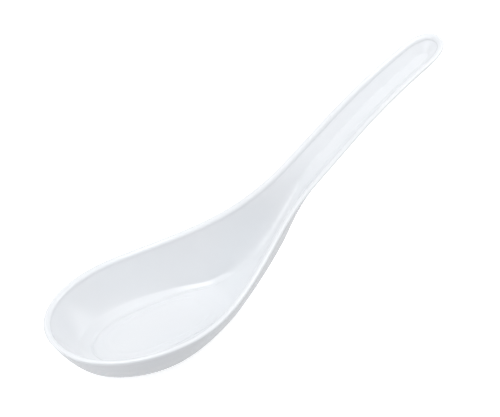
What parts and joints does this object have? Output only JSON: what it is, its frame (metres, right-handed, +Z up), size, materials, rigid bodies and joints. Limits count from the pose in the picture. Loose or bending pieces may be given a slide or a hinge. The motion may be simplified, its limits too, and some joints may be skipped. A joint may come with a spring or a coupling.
{
  "type": "soup spoon",
  "caption": "White plastic soup spoon moulded in one piece: deep oval bowl with a flat floor and foot, running into a channel handle that rises in an S curve.",
  "frame": {"origin": "centre of the foot's flat underside, under the bowl", "axes": "+X from the bowl's tip towards the handle's end, +Y across the bowl to the far side in the picture, +Z up"},
  "size_m": [0.1358, 0.044, 0.062],
  "materials": {
    "white_plastic": "smooth, glossy white moulded plastic"
  },
  "bodies": {
    "root": {"spoon": "white_plastic"}
  },
  "joints": []
}
